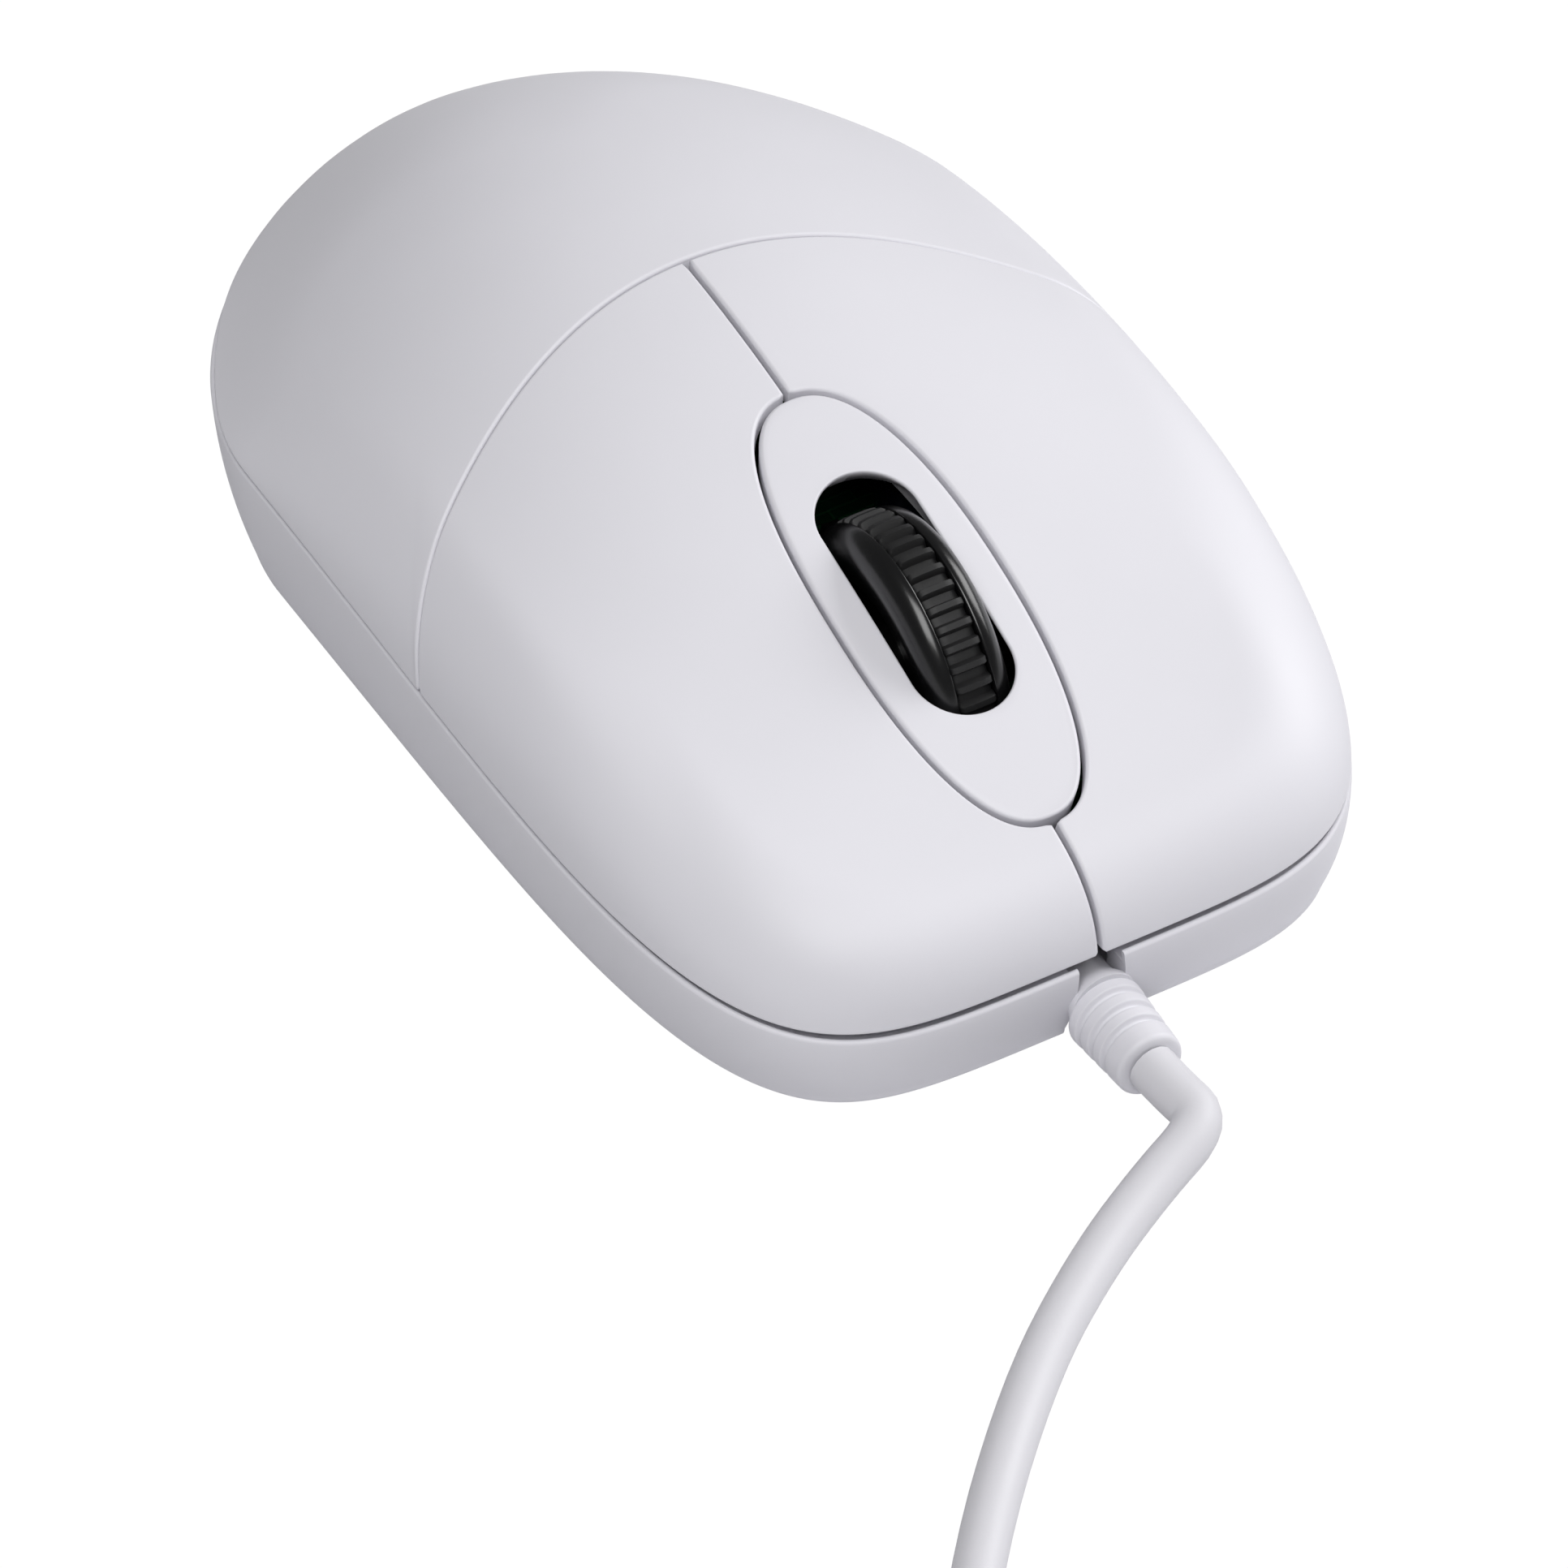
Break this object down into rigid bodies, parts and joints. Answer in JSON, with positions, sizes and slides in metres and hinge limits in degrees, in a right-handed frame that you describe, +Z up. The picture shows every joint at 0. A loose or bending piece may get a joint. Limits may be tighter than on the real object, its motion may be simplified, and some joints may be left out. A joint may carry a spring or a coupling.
{
  "type": "computer mouse",
  "caption": "Corded optical mouse with two sprung main buttons, a scroll wheel that turns and presses, and a wound cord ending in a USB plug.",
  "frame": {"origin": "on the surface that the mouse stands on, under the middle of its body", "axes": "+Y towards the palm end, -Y towards the cord, +X towards the user's left button, +Z up"},
  "size_m": [0.096, 0.2427, 0.0332],
  "materials": {
    "white_abs": "fine satin moulding",
    "ptfe": "smooth, slippery",
    "green_laminate": "semi-gloss solder mask",
    "switch_black": "satin",
    "plunger_white": "satin",
    "tinned_metal": "dull bright metal",
    "clear_acrylic": "polished clear plastic",
    "red_epoxy": "clear red, glossy",
    "capacitor_sleeve": "shrink sleeve",
    "black_gloss": "glossy",
    "black_rubber": "matte",
    "white_pvc": "satin, flexible",
    "tie_black": "satin strip",
    "plated_steel": "bright nickel plate",
    "gilt": "gold flash"
  },
  "bodies": {
    "case": {"palm_cover": "white_abs", "wheel_bezel": "white_abs", "base_case": "white_abs", "glide_feet": "ptfe", "circuit_board": "green_laminate", "left_switch": "switch_black", "right_switch": "switch_black", "middle_switch": "switch_black", "switch_pins": "tinned_metal", "sensor_chip": "switch_black", "sensor_lens": "clear_acrylic", "led": "red_epoxy", "led_clip": "switch_black", "controller_chip": "switch_black", "crystal": "tinned_metal", "capacitors": "capacitor_sleeve", "ir_emitter": "plunger_white", "ir_detector": "switch_black", "cable_header": "plunger_white", "cable_plug": "plunger_white", "case_screws": "tinned_metal", "board_screws": "tinned_metal", "strain_relief": "white_pvc", "inner_cable": "white_pvc", "cord_lead": "white_pvc", "cord_tail": "white_pvc", "cord_coil": "white_pvc", "coil_tie": "tie_black", "usb_overmould": "white_pvc", "usb_shell": "plated_steel", "usb_tongue": "plunger_white", "usb_contacts": "gilt"},
    "left_button": {"left_button": "white_abs"},
    "right_button": {"right_button": "white_abs"},
    "left_plunger": {"left_plunger": "plunger_white"},
    "right_plunger": {"right_plunger": "plunger_white"},
    "middle_plunger": {"middle_plunger": "switch_black"},
    "carrier": {"wheel_carrier": "switch_black", "detent_spring": "tinned_metal"},
    "wheel": {"wheel_hub": "black_gloss", "wheel_tyre": "black_rubber"}
  },
  "joints": [
    {"name": "left_button_press", "type": "hinge", "parent": "case", "child": "left_button", "pos_m": [0, 0.013, 0.0225], "axis": [1, 0, 0], "range_deg": [0, 0.4], "stiffness_Nm_per_rad": 2.2, "springref_deg": -0.46},
    {"name": "left_plunger_travel", "type": "slide", "parent": "case", "child": "left_plunger", "axis": [0, 0, -1], "range_m": [0, 0.0004]},
    {"name": "right_button_press", "type": "hinge", "parent": "case", "child": "right_button", "pos_m": [0, 0.013, 0.0225], "axis": [1, 0, 0], "range_deg": [0, 0.4], "stiffness_Nm_per_rad": 2.2, "springref_deg": -0.46},
    {"name": "right_plunger_travel", "type": "slide", "parent": "case", "child": "right_plunger", "axis": [0, 0, -1], "range_m": [0, 0.0004]},
    {"name": "wheel_press", "type": "hinge", "parent": "case", "child": "carrier", "pos_m": [0, -0.006, 0.011], "axis": [1, 0, 0], "range_deg": [0, 1.2], "stiffness_Nm_per_rad": 0.5, "springref_deg": -0.57},
    {"name": "middle_plunger_travel", "type": "slide", "parent": "case", "child": "middle_plunger", "axis": [0, 0, -1], "range_m": [0, 0.0004]},
    {"name": "wheel_spin", "type": "hinge", "parent": "carrier", "child": "wheel", "pos_m": [0, -0.0268, 0.0185], "axis": [1, 0, 0], "continuous": true}
  ],
  "couplings": [
    {"joint": "left_plunger_travel", "follows": "left_button_press", "m_per_rad": 0.049},
    {"joint": "right_plunger_travel", "follows": "right_button_press", "m_per_rad": 0.049},
    {"joint": "middle_plunger_travel", "follows": "wheel_press", "m_per_rad": 0.014}
  ]
}
